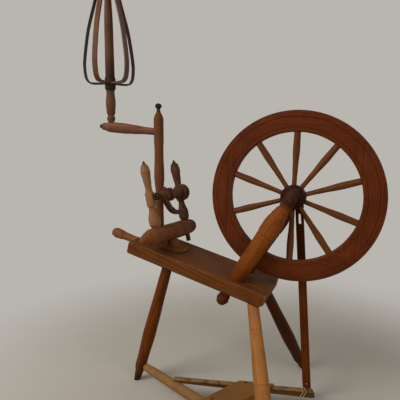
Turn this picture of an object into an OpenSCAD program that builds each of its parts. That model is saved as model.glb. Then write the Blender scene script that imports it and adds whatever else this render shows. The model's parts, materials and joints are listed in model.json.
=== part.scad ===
// Saxony spinning wheel: a sloping three-legged bench carries a treadled wheel,
// a sliding mother-of-all with its maidens and flyer, and a distaff on a turning post.
// Millimetres. X runs along the bench toward the wheel, Y along the axle away from
// the spinner, Z up. The origin is on the floor under the flyer-end leg.

/* [Wheel] */
// Outside diameter of the wheel
wheel_d = 510; // [490:1:516]
// Radial depth of the felloes
rim_depth = 62; // [58:0.5:66]
// Thickness of the rim along the axle
rim_w = 27; // [25:0.5:29]
// Greatest diameter of the hub
hub_d = 74; // [70:1:78]
// Length of the hub along the axle
hub_l = 56; // [52:1:58]
// Diameter of a spoke near the rim
spoke_rim_d = 21; // [18:0.5:22]
// Diameter of a spoke at the hub
spoke_hub_d = 14; // [13:0.5:15]
// Direction of the topmost spoke at rest, in degrees
spoke_turn = 88; // [85:1:91]
// Height of the axle above the floor
axle_h = 690; // [684:1:700]
// Diameter of the iron axle
axle_d = 16; // [15:0.5:17]
// Throw of the crank
crank_r = 40; // [36:1:42]
// Lean of the crank from straight down at rest, in degrees
crank_turn = 8; // [0:1:10]

/* [Bench] */
// Length of the bench along its slope
bench_l = 480; // [474:1:500]
// Width of the bench
bench_w = 190; // [184:1:200]
// Thickness of the bench
bench_t = 44.5; // [42:0.5:48]
// Slope of the bench down toward the wheel, in degrees
bench_slope = 14.8; // [14:0.1:15.5]
// Drop from the axle to the bench top at its wheel end
bench_drop = 283.5; // [280:0.5:290]
// Overhang of the wheel centre past the bench end
bench_gap = 55; // [52:1:58]

/* [Legs] */
// Greatest diameter of a leg
leg_d = 45; // [42:1:47]
// Diameter of a leg at the floor
foot_d = 22; // [20:1:25]
// Diameter of the leg tenons
leg_tenon_d = 24; // [22:1:26]
// Spread of the two wheel-end feet from the middle of the bench
foot_spread = 279; // [270:1:285]

/* [Uprights] */
// Distance of each upright from the wheel plane
upright_y = 49; // [48.5:0.5:51]
// Greatest diameter of an upright
upright_d = 58; // [54:1:59]
// Diameter of the upright tenons
upright_tenon_d = 28; // [26:1:30]
// Diameter of the ball knobs on the tenon ends
knob_d = 40; // [36:1:44]

/* [Treadle] */
// Height of the treadle rail above the floor
rail_h = 62.5; // [60:0.5:66]
// Greatest diameter of the rail
rail_d = 33; // [32:0.5:36]
// Width of the treadle arm
arm_w = 24; // [22:0.5:25]
// Width of the treadle board
board_w = 83; // [78:1:88]
// Thickness of the treadle board
board_t = 17; // [15:0.5:19]
// Tilt of the treadle at rest, in degrees
treadle_tilt = 6.5; // [5:0.1:7]
// Width of the footman
footman_w = 25; // [23:0.5:26]
// Thickness of the footman
footman_t = 9; // [8:0.5:10]

/* [Mother-of-all] */
// Greatest diameter of the mother-of-all bar
bar_d = 57; // [54:1:58]
// Turn of the bar away from the axle direction, in degrees
bar_yaw = 7.5; // [6:0.1:8]
// Lean of the maidens away from the wheel, in degrees
maiden_lean = 12.5; // [12:0.1:13]
// Height of the flyer axis above the bench, along the maidens
flyer_rise = 182; // [180:0.5:184]
// Offset of the flyer axis to the wheel side of the maidens
flyer_side = 27; // [26:0.5:28]
// Diameter of the tension screw
screw_d = 18; // [16:0.5:19]
// Diameter of the tension handle
handle_d = 36; // [34:1:40]

/* [Flyer] */
// Diameter of the whorl
whorl_d = 58; // [54:1:60]
// Reach of the flyer arm from the axis
flyer_reach = 68; // [64:0.5:69]
// Diameter of the orifice
orifice_d = 9; // [8:0.5:10]
// Diameter of the bobbin flange
bobbin_d = 45; // [42:1:46]

/* [Distaff] */
// Height of the distaff arm above the floor, at the post
distaff_h = 894; // [888:1:900]
// Reach of the distaff arm from the post to the distaff
distaff_reach = 168.5; // [164:0.5:172]
// Direction of the distaff arm seen from above, in degrees
distaff_turn = 202.7; // [198:0.1:207]
// Greatest radius of the cage of ribs
cage_r = 89.5; // [85:0.5:92]
// Height of the cage, from the foot of its knob to its cap
cage_h = 418; // [400:1:430]
// Width of a rib
rib_w = 17; // [15:0.5:18]
// Thickness of a rib
rib_t = 5.5; // [5:0.1:6]

/* [Shown piece] */
// Piece to draw

/* [Hidden] */

// Clearances: running shafts, and faces that slide past each other
run_gap = 0.08;
slide_gap = 0.5;

// Wood and metal tones
oak = [0.45, 0.27, 0.15];
oak_dark = [0.26, 0.14, 0.08];
oak_pale = [0.66, 0.46, 0.27];
iron = [0.22, 0.21, 0.21];

// Wheel
wheel_r = wheel_d / 2;
rim_in = wheel_r - rim_depth;
spoke_n = 10;
spoke_tenon_r = 6;
felloe_joint = spoke_turn - 45;

// Uprights and axle, as distances along the axle
head_r = 19;
crank_y = upright_y + 24;
crank_t = 8;
footman_y = crank_y + crank_t + 1.5;
collar_y = footman_y + footman_t + 1;
collar_t = 3.5;
pin_r = 6;
crank_pin = [crank_r * sin(crank_turn), axle_h - crank_r * cos(crank_turn)];

// Bench
bench_end_x = -bench_gap;
bench_end_h = axle_h - bench_drop;
function from_flyer_end(d) = bench_end_x - (bench_l - d) * cos(bench_slope);
function bench_top(x) = bench_end_h + (bench_end_x - x) * tan(bench_slope);
function bench_under(x) = bench_top(x) - bench_t / cos(bench_slope);
function bench_along(x) = (x - bench_end_x) / cos(bench_slope);

// Depth of the lines cut round the near leg
leg_line = 1.4;

// Leg axes, foot to underside
flyer_top_x = from_flyer_end(124);
flyer_foot = [flyer_top_x - 138, -35, 0];
flyer_top = [flyer_top_x, -45, bench_under(flyer_top_x)];
near_foot = [12, -foot_spread, 0];
near_top = [-100, -70, bench_under(-100)];
far_foot = [12, foot_spread, 0];
far_top = [-100, 70, bench_under(-100)];

// Upright axes, bench top to axle
upright_x = -159;
upright_l = norm([upright_x, axle_h - bench_top(upright_x)]);
upright_lean = atan2(-upright_x, axle_h - bench_top(upright_x));

// Treadle rail, between the flyer-end leg and the near leg
rail_a = flyer_foot + (flyer_top - flyer_foot) * rail_h / flyer_top[2];
rail_b = near_foot + (near_top - near_foot) * rail_h / near_top[2];
rail_l = norm(rail_b - rail_a);
rail_turn = atan2(rail_b[1] - rail_a[1], rail_b[0] - rail_a[0]);
rail_inset = 25;
rail_pin_r = 5;
rail_pin_l = 38;
arm_end = [74.8, 59.7] - [rail_a[0], rail_a[1]];
arm_a = [187, 12];
arm_b = [
  arm_end[0] * cos(rail_turn) + arm_end[1] * sin(rail_turn),
  arm_end[1] * cos(rail_turn) - arm_end[0] * sin(rail_turn)
];
arm_l = norm(arm_b - arm_a);
arm_turn = atan2(arm_b[1] - arm_a[1], arm_b[0] - arm_a[0]);
board_x = 331;
board_z = 15;
nail_at = [[board_x + 18, -2], [board_x + 64, -2], [board_x + 20, 158], [board_x + 60, 196]];

// String winding on the treadle arm
tie_x = arm_l - 47;
tie_turns = 2;
tie_r = 1.2;
tie_pitch = 9;
tie_steps = 24;
tie_sides = 6;
tie_off = 1.3;
tie_slant = 0.55;

// Mother-of-all, in its own frame: y along the bar, z along the maidens
moa_x = from_flyer_end(123);
bar_z = 55;
bar_r = bar_d / 2;
near_y = -76.5;
far_y = 98;
post_r = 15;
screw_z = -0.62 * bench_t;
slot_half = 30;
leather_t = 6;
spindle_r = 4.5;
tube_r = 8;

// Distaff
post_at = [from_flyer_end(27), 72];
post_foot = bench_top(post_at[0]) + 4.5;
post_tenon_r = 11;
post_arm_r = 17.6;
arm_tenon_r = 9.5;
arm_rise = 5.8;
distaff_at = post_at + distaff_reach * [cos(distaff_turn), sin(distaff_turn)];
arm_top = distaff_h + distaff_reach * tan(arm_rise);
peg_r = 8;
seat_z = arm_top + 19.4;
knob_z = arm_top + 126;
core_r = 16;
cap_z = knob_z + cage_h;
rib_first = 56.8;
rib_n = 5;

// A turned outline from [height, radius] pairs, eased between its swells and coves
function ease(a, b, n) = [for (i = [0:n - 1]) let (t = i / n)
  [a[0] + (b[0] - a[0]) * t, a[1] + (b[1] - a[1]) * (1 - cos(180 * t)) / 2]];
function steps(a, b, n) = abs(b[0] - a[0]) < 1.3 || a[1] == b[1] ? 1 : n;
function turned(p, n) = concat(
  [for (k = [0:len(p) - 2]) each ease(p[k], p[k + 1], steps(p[k], p[k + 1], n))],
  [p[len(p) - 1]]);

// A smooth path through given points
function knot(p, i) = p[max(0, min(len(p) - 1, i))];
function blend(a, b, c, d, t) = 0.5 * (2 * b + (c - a) * t + (2 * a - 5 * b + 4 * c - d) * t * t
  + (3 * b - a - 3 * c + d) * t * t * t);
function smooth(p, n) = concat(
  [for (k = [0:len(p) - 2]) for (i = [0:n - 1])
    blend(knot(p, k - 1), knot(p, k), knot(p, k + 1), knot(p, k + 2), i / n)],
  [p[len(p) - 1]]);
function unit(v) = v / norm(v);
function side(p, i) = let (d = unit(knot(p, i + 1) - knot(p, i - 1))) [-d[1], d[0]];
function strip(p, h0, h1) = let (m = len(p) - 1) concat(
  [for (i = [0:m]) p[i] + side(p, i) * (h0 + (h1 - h0) * i / m)],
  [for (j = [0:m]) let (i = m - j) p[i] - side(p, i) * (h0 + (h1 - h0) * i / m)]);

module lathe(p, n = 6)
  rotate_extrude($fn = 72)
    polygon(concat([[0, p[0][0]]], [for (q = turned(p, n)) [q[1], q[0]]], [[0, p[len(p) - 1][0]]]));

// Stands local z on the line from a toward b
module span(a, b) {
  d = b - a;
  translate(a)
    rotate([0, acos(d[2] / norm(d)), atan2(d[1], d[0])])
      children();
}

// The whole object is set with the flyer-end foot at the origin
module placed() translate([-flyer_foot[0], -flyer_foot[1], 0]) children();
module bench_frame() translate([bench_end_x, 0, bench_end_h]) rotate([0, bench_slope, 0]) children();
module wheel_frame() translate([0, 0, axle_h]) rotate([90, 0, 0]) children();
module upright_frame(s)
  translate([upright_x, s * upright_y, bench_top(upright_x)]) rotate([0, upright_lean, 0]) children();
module treadle_frame() translate(rail_a) rotate([0, 0, rail_turn]) rotate([-treadle_tilt, 0, 0]) children();
module arm_frame() treadle_frame() translate(arm_a) rotate([0, 0, arm_turn]) children();
module moa_frame()
  translate([moa_x, 0, bench_top(moa_x)]) rotate([0, 0, -bar_yaw]) rotate([0, -maiden_lean, 0]) children();
module flyer_frame() moa_frame() translate([flyer_side, 0, flyer_rise]) rotate([-90, 0, 0]) children();
module screw_frame() bench_frame() translate([0, 0, screw_z]) rotate([0, -90, 0]) children();
module post_frame() translate([post_at[0], post_at[1], 0]) children();
module arm_line()
  translate([post_at[0], post_at[1], distaff_h])
    rotate([0, 0, distaff_turn])
      rotate([0, 90 - arm_rise, 0])
        children();
module distaff_frame() translate([distaff_at[0], distaff_at[1], 0]) children();

// Half spaces at the bench top and underside
module above_bench() bench_frame() translate([-900, -500, 0]) cube([1400, 1000, 900]);
module above_under() bench_frame() translate([-900, -500, -bench_t]) cube([1400, 1000, 900]);
module below_bench() bench_frame() translate([-900, -500, -900]) cube([1400, 1000, 900]);

// Bench

module slab() {
  end_cut = 14;
  edge = 2.5;
  side_cut = 7;
  half = bench_w / 2;
  bench_frame() intersection() {
    rotate([90, 0, 0])
      linear_extrude(height = bench_w + 20, center = true)
        polygon([
          [-bench_l + edge, 0], [-edge, 0], [0, -edge], [0, -bench_t + end_cut], [-end_cut, -bench_t],
          [-bench_l + edge, -bench_t], [-bench_l, -bench_t + edge], [-bench_l, -edge]
        ]);
    rotate([90, 0, 90])
      linear_extrude(height = 4 * bench_l, center = true)
        polygon([
          [-half + edge, 0], [half - edge, 0], [half, -edge], [half, -bench_t + side_cut],
          [half - side_cut, -bench_t], [-half + side_cut, -bench_t],
          [-half, -bench_t + side_cut], [-half, -edge]
        ]);
  }
}

module leg_bore(foot, top)
  span(foot, top) translate([0, 0, norm(top - foot) - 60]) cylinder(r = leg_tenon_d / 2, h = 160, $fn = 48);

module post_slot() {
  lean = (bench_t + 2) * tan(bench_slope + maiden_lean);
  bench_frame() translate([bench_along(moa_x), 0, 0]) rotate([90, 0, 0])
    linear_extrude(height = 2 * (post_r + 2.5), center = true)
      polygon([
        [-slot_half, 1], [slot_half, 1], [slot_half + lean, -bench_t - 1], [-slot_half + lean, -bench_t - 1]
      ]);
}

module bench() color(oak) placed() difference() {
  slab();
  leg_bore(flyer_foot, flyer_top);
  leg_bore(near_foot, near_top);
  leg_bore(far_foot, far_top);
  for (s = [-1, 1])
    upright_frame(s) translate([0, 0, -120]) cylinder(r = upright_tenon_d / 2, h = 160, $fn = 48);
  post_slot();
  screw_frame() translate([0, 0, -bench_along(moa_x) - 70])
    cylinder(r = screw_d / 2 + run_gap, h = 400, $fn = 48);
  post_frame() translate([0, 0, post_foot - 90]) cylinder(r = post_tenon_r + run_gap, h = 120, $fn = 48);
}

// Legs

function leg_outline(l, cut) = [
  [-18, foot_d / 2 - 0.8], [0, foot_d / 2], [26, foot_d / 2 + 2.5], [66, leg_d / 2 - 2.5],
  [92, leg_d / 2 - 3], [0.42 * l, leg_d / 2], [0.482 * l, leg_d / 2 - 0.6],
  [0.487 * l, leg_d / 2 - 0.7 - cut], [0.492 * l, leg_d / 2 - 0.8], [0.814 * l, leg_d / 2 - 3.8],
  [0.819 * l, leg_d / 2 - 3.9 - cut], [0.824 * l, leg_d / 2 - 4], [l, leg_d / 2 - 5.5],
  [l + 40, leg_d / 2 - 6]
];

module leg(foot, top, cut) intersection() {
  union() {
    difference() {
      span(foot, top) lathe(leg_outline(norm(top - foot), cut));
      above_under();
    }
    difference() {
      leg_bore(foot, top);
      above_bench();
    }
  }
  translate([-1500, -1500, 0]) cube([3000, 3000, 2000]);
}

module rail_line() translate(rail_a) rotate([0, 0, rail_turn]) rotate([0, 90, 0]) children();

module flyer_leg() color(oak_dark) placed() difference() {
  leg(flyer_foot, flyer_top, 0);
  rail_line() translate([0, 0, rail_inset - 21])
    cylinder(r = rail_pin_r + run_gap, h = 60, $fn = 48);
}

module near_leg() color(oak_pale) placed() difference() {
  leg(near_foot, near_top, leg_line);
  rail_line() translate([0, 0, rail_l - rail_inset - 39])
    cylinder(r = rail_pin_r + run_gap, h = 60, $fn = 48);
}

module far_leg() color(oak_dark) placed() leg(far_foot, far_top, 0);

// Uprights

module upright(s) {
  u = upright_d / 2;
  l = upright_l;
  difference() {
    union() {
      difference() {
        upright_frame(s) lathe([
          [-30, u - 4.5], [8, u - 4], [60, u - 3], [120, u - 3.2], [150, u - 2.4], [164, u - 1.8],
          [168, u - 3.2], [172, u - 1.2], [184, u], [208, u], [222, u - 1.5], [l - 64, u - 4.5],
          [l - 44, head_r + 1.5], [l - 34, head_r - 2.5], [l - 22, head_r - 0.5], [l + 6, head_r],
          [l + 22, head_r - 4], [l + 32, 8], [l + 34, 1]
        ]);
        below_bench();
      }
      difference() {
        upright_frame(s) translate([0, 0, -66]) cylinder(r = upright_tenon_d / 2, h = 100, $fn = 48);
        above_bench();
      }
      upright_frame(s) translate([0, 0, -86]) cylinder(r = upright_tenon_d / 2 - 5, h = 30, $fn = 48);
    }
    wheel_frame() cylinder(r = axle_d / 2 + run_gap, h = 300, center = true, $fn = 48);
  }
}

module near_upright() color([0.72, 0.36, 0.13]) placed() upright(-1);
module far_upright() color(oak_dark) placed() upright(1);

module tenon_knob(s) upright_frame(s) mirror([0, 0, 1]) difference() {
  lathe([[66, 15.5], [67, 16.5], [72, 17.5], [86, knob_d / 2], [99, 15], [105, 8], [107, 1]]);
  translate([0, 0, 60]) cylinder(r = upright_tenon_d / 2 - 5, h = 26, $fn = 48);
}

module near_knob() color(oak_pale) placed() tenon_knob(-1);
module far_knob() color(oak_dark) placed() tenon_knob(1);

// Wheel

module rim() {
  h = rim_w / 2;
  r = wheel_r;
  half = [
    [rim_in, h - 3.5], [rim_in + 3, h - 1], [rim_in + 12, h - 1], [rim_in + 13.2, h - 2.4],
    [rim_in + 14.4, h - 1], [r - 19.2, h], [r - 18, h - 1.5], [r - 16.8, h], [r - 9, h],
    [r - 7.6, h - 1.8], [r - 1, h - 2], [r, h - 3], [r, 7.8], [r - 4.5, 4.5], [r, 1.2]
  ];
  rotate_extrude($fn = 180)
    polygon(concat(half, [for (i = [len(half) - 1:-1:0]) [half[i][0], -half[i][1]]]));
}

module spoke_line(k) rotate([0, 0, spoke_turn + 360 / spoke_n * (k - 1)]) rotate([0, 90, 0]) children();

module spoke_bores()
  for (k = [1:spoke_n])
    spoke_line(k) translate([0, 0, 20]) cylinder(r = spoke_tenon_r, h = rim_in + 4, $fn = 36);

module felloe(k) wheel_frame() difference() {
  intersection() {
    rim();
    rotate([0, 0, felloe_joint + 90 * (k - 1)])
      translate([0, 0, -40])
        cube([wheel_d, wheel_d, 80]);
  }
  spoke_bores();
}

module felloe_1() color(oak_dark) placed() felloe(1);
module felloe_2() color(oak_dark) placed() felloe(2);
module felloe_3() color(oak_dark) placed() felloe(3);
module felloe_4() color(oak_dark) placed() felloe(4);

module hub_block() {
  h = hub_l / 2;
  r = hub_d / 2;
  lathe([
    [-h, r - 14], [-h + 1, r - 12], [-h + 6, r - 8], [-h + 10, r - 8.5], [-h + 11.2, r - 5], [-14, r - 1.5],
    [-13, r], [13, r], [14, r - 1.5], [h - 11.2, r - 5], [h - 10, r - 8.5], [h - 6, r - 8],
    [h - 1, r - 12], [h, r - 14]
  ]);
}

module hub() color(oak_dark) placed() wheel_frame() difference() {
  hub_block();
  cylinder(r = axle_d / 2, h = 200, center = true, $fn = 48);
  spoke_bores();
}

module spoke(k) wheel_frame() {
  difference() {
    spoke_line(k) lathe([
      [hub_d / 2 - 6, spoke_hub_d / 2], [hub_d / 2 + 22, spoke_hub_d / 2],
      [hub_d / 2 + 48, spoke_hub_d / 2 + 1], [rim_in - 48, spoke_rim_d / 2],
      [rim_in - 14, spoke_rim_d / 2 - 0.7], [rim_in + 8, spoke_rim_d / 2 - 1]
    ]);
    cylinder(r = hub_d / 2, h = 80, center = true, $fn = 72);
    difference() {
      cylinder(r = wheel_r, h = 80, center = true, $fn = 180);
      cylinder(r = rim_in, h = 100, center = true, $fn = 180);
    }
  }
  spoke_line(k) translate([0, 0, 20]) cylinder(r = spoke_tenon_r, h = rim_in + 4, $fn = 36);
}

module spoke_1() color(oak) placed() spoke(1);
module spoke_2() color(oak) placed() spoke(2);
module spoke_3() color(oak) placed() spoke(3);
module spoke_4() color(oak) placed() spoke(4);
module spoke_5() color(oak) placed() spoke(5);
module spoke_6() color(oak) placed() spoke(6);
module spoke_7() color(oak) placed() spoke(7);
module spoke_8() color(oak) placed() spoke(8);
module spoke_9() color(oak) placed() spoke(9);
module spoke_10() color(oak) placed() spoke(10);

// Local z of a crank_line runs along the axle, away from the spinner
module crank_line(y) translate([0, y, axle_h]) rotate([0, -crank_turn, 0]) rotate([-90, 0, 0]) children();

module axle() color(iron) placed() union() {
  crank_line(-upright_y - head_r - 3)
    cylinder(r = axle_d / 2, h = crank_y + crank_t + upright_y + head_r + 3, $fn = 48);
  crank_line(crank_y) {
    cylinder(r = 11, h = crank_t, $fn = 48);
    translate([-9, 0, 0]) cube([18, crank_r, crank_t]);
    translate([0, crank_r, 0]) cylinder(r = 10, h = crank_t, $fn = 48);
    translate([0, crank_r, 0]) cylinder(r = pin_r, h = collar_y + collar_t + 1.5 - crank_y, $fn = 48);
  }
}

module crank_collar() color(iron) placed() crank_line(collar_y) translate([0, crank_r, 0]) difference() {
  cylinder(r = 10, h = collar_t, $fn = 48);
  translate([0, 0, -1]) cylinder(r = pin_r, h = collar_t + 2, $fn = 48);
}

// Footman, hanging from the crank pin toward the end of the treadle arm

footman_foot = [50, 27];
footman_l = norm([footman_foot[0] - crank_pin[0], footman_foot[1] - crank_pin[1]]);
footman_lean = atan2(footman_foot[0] - crank_pin[0], crank_pin[1] - footman_foot[1]);

module footman() color(oak_dark) placed()
  translate([crank_pin[0], footman_y, crank_pin[1]]) rotate([0, -footman_lean, 0]) rotate([-90, 0, 0])
    linear_extrude(height = footman_t) difference() {
      union() {
        circle(r = footman_w / 2 + 1.5, $fn = 64);
        polygon([
          [-footman_w / 2, 0], [footman_w / 2, 0], [footman_w / 2 + 0.5, footman_l - 4],
          [footman_w / 2 - 3.5, footman_l], [3.5 - footman_w / 2, footman_l],
          [-footman_w / 2 - 0.5, footman_l - 4]
        ]);
      }
      circle(r = pin_r + run_gap, $fn = 48);
      translate([0, 26]) circle(r = 3.5, $fn = 36);
      polygon([[-3.5, 26], [3.5, 26], [4.5, 52], [-4.5, 52]]);
      translate([0, 52]) circle(r = 4.5, $fn = 36);
      translate([0, footman_l - 26]) circle(r = 4, $fn = 36);
    }

// Treadle

module arm_bar() arm_frame() rotate([90, 0, 0])
  linear_extrude(height = arm_w, center = true)
    polygon([
      [-15, 12.5], [arm_l - 3, 5], [arm_l, 8], [arm_l, 20.5], [arm_l - 3, 23.5], [-13, 20.5],
      [-15, 18.5]
    ]);

module board_plank() {
  far_l = arm_a[1] + (board_x - arm_a[0]) * tan(arm_turn) + 7;
  far_r = arm_a[1] + (board_x + board_w - arm_a[0]) * tan(arm_turn) + 7;
  treadle_frame() translate([0, 0, board_z])
    linear_extrude(height = board_t)
      polygon([
        [board_x, -88], [board_x + 8, -95], [board_x + board_w - 8, -95], [board_x + board_w, -88],
        [board_x + board_w, far_r], [board_x, far_l]
      ]);
}

module nail_shanks()
  for (p = nail_at)
    treadle_frame() translate([p[0], p[1], 10]) cylinder(r = 1.6, h = board_z + board_t - 10, $fn = 24);

module rail_ends()
  for (x = [rail_inset - 18, rail_l - rail_inset - rail_pin_l + 18])
    rail_line() translate([0, 0, x]) cylinder(r = rail_pin_r, h = rail_pin_l, $fn = 48);

module treadle_rail() color(oak_pale) placed() difference() {
  rail_line() lathe([
    [rail_inset, 9], [rail_inset + 1.2, 10.5], [rail_inset + 8, 13], [70, 14.5], [190, rail_d / 2 - 0.5],
    [300, rail_d / 2], [rail_l - 110, rail_d / 2], [rail_l - 60, 14], [rail_l - rail_inset - 8, 11.5],
    [rail_l - rail_inset - 1.2, 9.5], [rail_l - rail_inset, 8]
  ]);
  arm_bar();
  board_plank();
  nail_shanks();
  rail_ends();
}

module rail_pins() color(iron) placed() rail_ends();

module treadle_arm() color(oak) placed() difference() {
  arm_bar();
  board_plank();
  nail_shanks();
}

module treadle_board() color(oak_pale) placed() difference() {
  board_plank();
  nail_shanks();
}

module treadle_nails() color(iron) placed() {
  nail_shanks();
  for (p = nail_at)
    treadle_frame() translate([p[0], p[1], board_z + board_t]) cylinder(r = 4.2, h = 1.6, $fn = 24);
}

// The string is one tube wound round the arm, with its turns side by side
tie_a = (arm_w / 2 + tie_off) / 0.917;
tie_b = (9.1 + tie_off) / 0.917;
function bow(v) = sign(v) * pow(abs(v), 0.25);
function tie_at(i) = let (w = 360 * i / tie_steps, h = tie_b * bow(sin(w)))
  [tie_x + tie_pitch * i / tie_steps + tie_slant * h, tie_a * bow(cos(w)), 14.5 + h];
function tie_out(i) = let (d = tie_at(i + 0.5) - tie_at(i - 0.5)) unit([0, d[2], -d[1]]);
tie_rings = tie_turns * tie_steps;
tie_points = [for (i = [0:tie_rings]) for (j = [0:tie_sides - 1])
  tie_at(i) + tie_r * (cos(60 * j) * tie_out(i) + sin(60 * j) * [1, 0, 0])];
tie_faces = concat(
  [[for (j = [0:tie_sides - 1]) j]],
  [for (i = [0:tie_rings - 1]) for (j = [0:tie_sides - 1])
    let (a = i * tie_sides + j, b = i * tie_sides + (j + 1) % tie_sides)
      each [[a, b + tie_sides, b], [a, a + tie_sides, b + tie_sides]]],
  [[for (j = [tie_sides - 1:-1:0]) tie_rings * tie_sides + j]]);
echo(tie_least_gap = tie_pitch * cos(atan(tie_slant)) - 2 * tie_r);

module footman_tie() color([0.80, 0.74, 0.60]) placed() arm_frame()
  polyhedron(points = tie_points, faces = tie_faces);

// Tension screw, with its handle past the flyer end of the bench

module tension_screw() color([0.62, 0.34, 0.15]) placed() screw_frame() {
  translate([0, 0, -bench_along(moa_x) - 58])
    cylinder(r = screw_d / 2, h = bench_l + bench_along(moa_x) + 58 + 2, $fn = 48);
  translate([0, 0, bench_l]) lathe([
    [0.8, 12.5], [2, 13.5], [8, 14], [40, 13], [70, 14], [90, handle_d / 2 - 1], [108, handle_d / 2],
    [120, 14.5], [126, 7], [127, 1]
  ]);
}

// Mother-of-all

module bar_body() moa_frame() translate([0, 0, bar_z]) rotate([-90, 0, 0]) lathe([
  [-164, 3], [-160, 9], [-150, 14], [-128, 22], [-108, bar_r], [-50, bar_r], [-47, bar_r - 3],
  [-44, bar_r], [42, bar_r], [45, bar_r - 3], [48, bar_r], [77, bar_r], [78, bar_r - 2],
  [115, bar_r - 2], [118, bar_r - 5], [122, bar_r - 3.5], [132, bar_r - 6], [143, 12], [146, 3]
]);

module maiden_peg(y, z) moa_frame() translate([0, y, z]) cylinder(r = 8, h = bar_z + 34 - z, $fn = 48);

module maiden_pegs() {
  maiden_peg(near_y, bar_z - 16);
  maiden_peg(far_y, 4);
}

module moa_bar() color(oak) placed() difference() {
  bar_body();
  maiden_pegs();
}

module moa_post() color(oak) placed() difference() {
  union() {
    moa_frame() translate([0, 0, -76]) cylinder(r = post_r, h = 120, $fn = 48);
    difference() {
      moa_frame() lathe([[-12, 21], [10, 20], [22, 17], [50, 18]]);
      bench_frame() translate([bench_along(moa_x) - 200, -200, -395]) cube([400, 400, 395 + slide_gap]);
    }
    bench_frame() translate([bench_along(moa_x), 0, slide_gap])
      lathe([[0, 48], [1, 49], [7.4, 49], [8.6, 47.6], [9, 45]]);
  }
  bar_body();
  screw_frame() translate([0, 0, -bench_along(moa_x) - 80])
    cylinder(r = screw_d / 2 + 0.3, h = 160, $fn = 48);
}

module maiden(y, k, t) difference() {
  union() {
    difference() {
      moa_frame() translate([0, y, 0]) lathe([
        [68, 12], [80, 13.5], [94, 19 * k], [110, 19.5 * k], [146, 11.5 * k], [152, 11 * k],
        [153, 15 * k], [154, 15.4 * k], [198, 15.4 * k], [199, 15 * k], [200, 12 * k], [214, 10.5 * t],
        [240, 12.8 * t], [268, 15.3 * t], [282, 13 * t], [299, 4], [304, 0.8]
      ]);
      bar_body();
    }
    intersection() {
      maiden_pegs();
      moa_frame() translate([-20, y - 20, 0]) cube([40, 40, 200]);
    }
  }
  leather_tab(y);
}

// A leather tab let into a maiden, on the wheel side, with the shaft hole in its rounded end
module leather_tab(y) moa_frame() translate([0, y, flyer_rise]) rotate([90, 0, 0])
  linear_extrude(height = leather_t, center = true) {
    translate([2, -11]) square([flyer_side - 2, 22]);
    translate([flyer_side, 0]) circle(r = 13, $fn = 64);
  }

module leather_hole(y, r)
  flyer_frame() translate([0, 0, y - 20]) cylinder(r = r + run_gap, h = 40, $fn = 48);

module near_maiden() color([0.74, 0.55, 0.36]) placed() maiden(near_y, 1, 1.05);
module far_maiden() color(oak_dark) placed() maiden(far_y, 0.95, 1.12);

module near_leather() color([0.24, 0.14, 0.09]) placed() difference() {
  leather_tab(near_y);
  leather_hole(near_y, tube_r);
}

module far_leather() color([0.24, 0.14, 0.09]) placed() difference() {
  leather_tab(far_y);
  leather_hole(far_y, spindle_r);
}

// Flyer: local z runs along the spindle, local y points down

tube_a = near_y - leather_t / 2 - 4;
tube_b = -52;
orifice_l = 22;
arm_path = smooth([
  [-40, 6], [-31, 22], [-18, 44], [-3, flyer_reach - 11], [18, flyer_reach - 3], [45, flyer_reach]
], 6);
stump_path = smooth([[-40, -6], [-33, -18], [-28, -25]], 4);

module bent(path, h0, h1, w) rotate([0, -90, 0]) linear_extrude(height = w, center = true)
  polygon(strip(path, h0, h1));

module flyer_yoke() color([0.27, 0.16, 0.13]) placed() flyer_frame() difference() {
  union() {
    lathe([[-62, 9.2], [-60, 10], [-42, 15.5], [-30, 18.5], [-24, 17], [-19, 9], [-18, 8]]);
    bent(arm_path, 8.5, 6, 15);
    bent(stump_path, 7, 5, 15);
  }
  translate([0, 0, tube_b - 60]) cylinder(r = tube_r, h = 60, $fn = 48);
  translate([0, 0, -100]) cylinder(r = spindle_r, h = 260, $fn = 48);
  hook_pins();
}

hook_at = [16, 24, 30];
hook_r = 0.9;
hook_out = 13;
hook_up = 5;

module hook_pins()
  for (i = hook_at)
    translate([0, arm_path[i][1], arm_path[i][0]]) rotate([0, 90, 0])
      cylinder(r = hook_r, h = hook_out, $fn = 24);

module flyer_hooks() color(iron) placed() flyer_frame() {
  hook_pins();
  for (i = hook_at)
    translate([hook_out - 0.5, arm_path[i][1] + 2 * hook_r, arm_path[i][0]]) rotate([90, 0, 0])
      cylinder(r = hook_r + 0.3, h = hook_up + 2 * hook_r, $fn = 24);
}

module flyer_spindle() color(iron) placed() flyer_frame() difference() {
  union() {
    translate([0, 0, tube_a]) cylinder(r = tube_r, h = tube_b - tube_a, $fn = 48);
    translate([0, 0, tube_b]) cylinder(r = spindle_r, h = far_y + 9 - tube_b, $fn = 48);
  }
  translate([0, 0, tube_a - 5]) cylinder(r = orifice_d / 2, h = 5 + orifice_l, $fn = 48);
  translate([0, 0, tube_a + orifice_l - 3.5]) rotate([0, 90, 0]) cylinder(r = 2.8, h = 20, $fn = 36);
}

module whorl() color([0.27, 0.16, 0.13]) placed() flyer_frame() difference() {
  rotate_extrude($fn = 90) polygon([
    [0, 56], [16, 56], [whorl_d / 2 - 1, 57], [whorl_d / 2, 58], [whorl_d / 2, 60], [whorl_d / 2 - 5, 63.5],
    [whorl_d / 2, 67], [whorl_d / 2, 69], [whorl_d / 2 - 3.5, 72.5], [whorl_d / 2, 76], [whorl_d / 2, 78],
    [whorl_d / 2 - 1, 79], [16, 80], [0, 80]
  ]);
  cylinder(r = spindle_r, h = 200, $fn = 48);
}

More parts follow.
